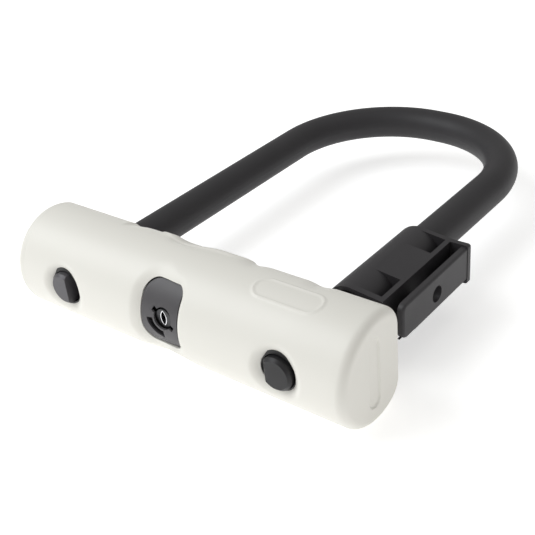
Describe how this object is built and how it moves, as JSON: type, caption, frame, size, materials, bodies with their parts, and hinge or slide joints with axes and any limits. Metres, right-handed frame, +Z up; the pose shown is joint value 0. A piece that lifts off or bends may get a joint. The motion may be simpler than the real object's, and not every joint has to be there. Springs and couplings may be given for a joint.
{
  "type": "u lock",
  "caption": "Bicycle lock with a coated U-shaped shackle that slides into a covered crossbar, a keyed cylinder that drives sliding bolts, and a clamped carrying bracket.",
  "frame": {"origin": "middle of the footprint, on the plane that the crossbar rests on", "axes": "+X along the crossbar towards the leg with the bracket, +Y from the crossbar towards the bow, +Z up; the key goes in along +Y"},
  "size_m": [0.146, 0.195, 0.0393],
  "materials": {
    "cover": "satin off-white moulded cover with a soft touch",
    "vinyl": "charcoal vinyl, matte",
    "shackle_steel": "dark phosphated hardened steel, satin",
    "bracket_plastic": "charcoal nylon, matte",
    "key_plate": "dark grey, semi-gloss",
    "shutter_metal": "blackened sheet steel",
    "plug_metal": "dark plated brass, satin",
    "keyway_chrome": "bright chrome",
    "brass": "machined brass",
    "tube_steel": "plain hardened steel",
    "hard_steel": "ground hardened steel",
    "spring_steel": "spring steel",
    "zinc_screw": "zinc-plated steel",
    "chassis": "die-cast zinc alloy, as cast",
    "black_plastic": "black plastic",
    "black_rubber": "black rubber"
  },
  "bodies": {
    "crossbar": {"cover_sleeve": "cover", "cover_end_cap": "cover", "crossbar_tube": "tube_steel", "tube_end_plugs": "tube_steel", "key_plate": "key_plate", "lock_chassis": "chassis", "chassis_screws": "zinc_screw", "cylinder_housing": "brass", "cylinder_clip": "spring_steel", "left_foot_bush": "black_plastic", "right_foot_bush": "black_plastic", "left_entry_seal": "black_rubber", "right_entry_seal": "black_rubber"},
    "cylinder": {"cylinder_plug": "plug_metal", "keyway_ring": "keyway_chrome", "code_discs": "brass", "sidebar": "spring_steel", "drive_cam": "hard_steel", "cam_screw": "zinc_screw"},
    "shutter": {"dust_shutter": "shutter_metal"},
    "bolt_left": {"left_bolt": "hard_steel"},
    "bolt_right": {"right_bolt": "hard_steel"},
    "shackle": {"shackle_bar": "shackle_steel", "shackle_coating": "vinyl", "bracket_body": "bracket_plastic", "bracket_jaw": "bracket_plastic", "bracket_liner": "black_rubber", "bracket_screws": "zinc_screw", "bracket_inserts": "brass"}
  },
  "joints": [
    {"name": "key_turn", "type": "hinge", "parent": "crossbar", "child": "cylinder", "pos_m": [0, -0.085, 0.0228], "axis": [0, 1, 0], "range_deg": [0, 90]},
    {"name": "bolt_left_slide", "type": "slide", "parent": "crossbar", "child": "bolt_left", "axis": [-1, 0, 0], "range_m": [0, 0.005]},
    {"name": "bolt_right_slide", "type": "slide", "parent": "crossbar", "child": "bolt_right", "axis": [1, 0, 0], "range_m": [0, 0.005]},
    {"name": "shutter_turn", "type": "hinge", "parent": "crossbar", "child": "shutter", "pos_m": [0, -0.085, 0.0228], "axis": [0, -1, 0], "range_deg": [0, 55]},
    {"name": "shackle_slide", "type": "slide", "parent": "crossbar", "child": "shackle", "axis": [0, 1, 0], "range_m": [0, 0.06]}
  ],
  "couplings": [
    {"joint": "key_turn", "follows": "bolt_right_slide", "rad_per_m": 314},
    {"joint": "bolt_left_slide", "follows": "bolt_right_slide", "ratio": 1}
  ]
}
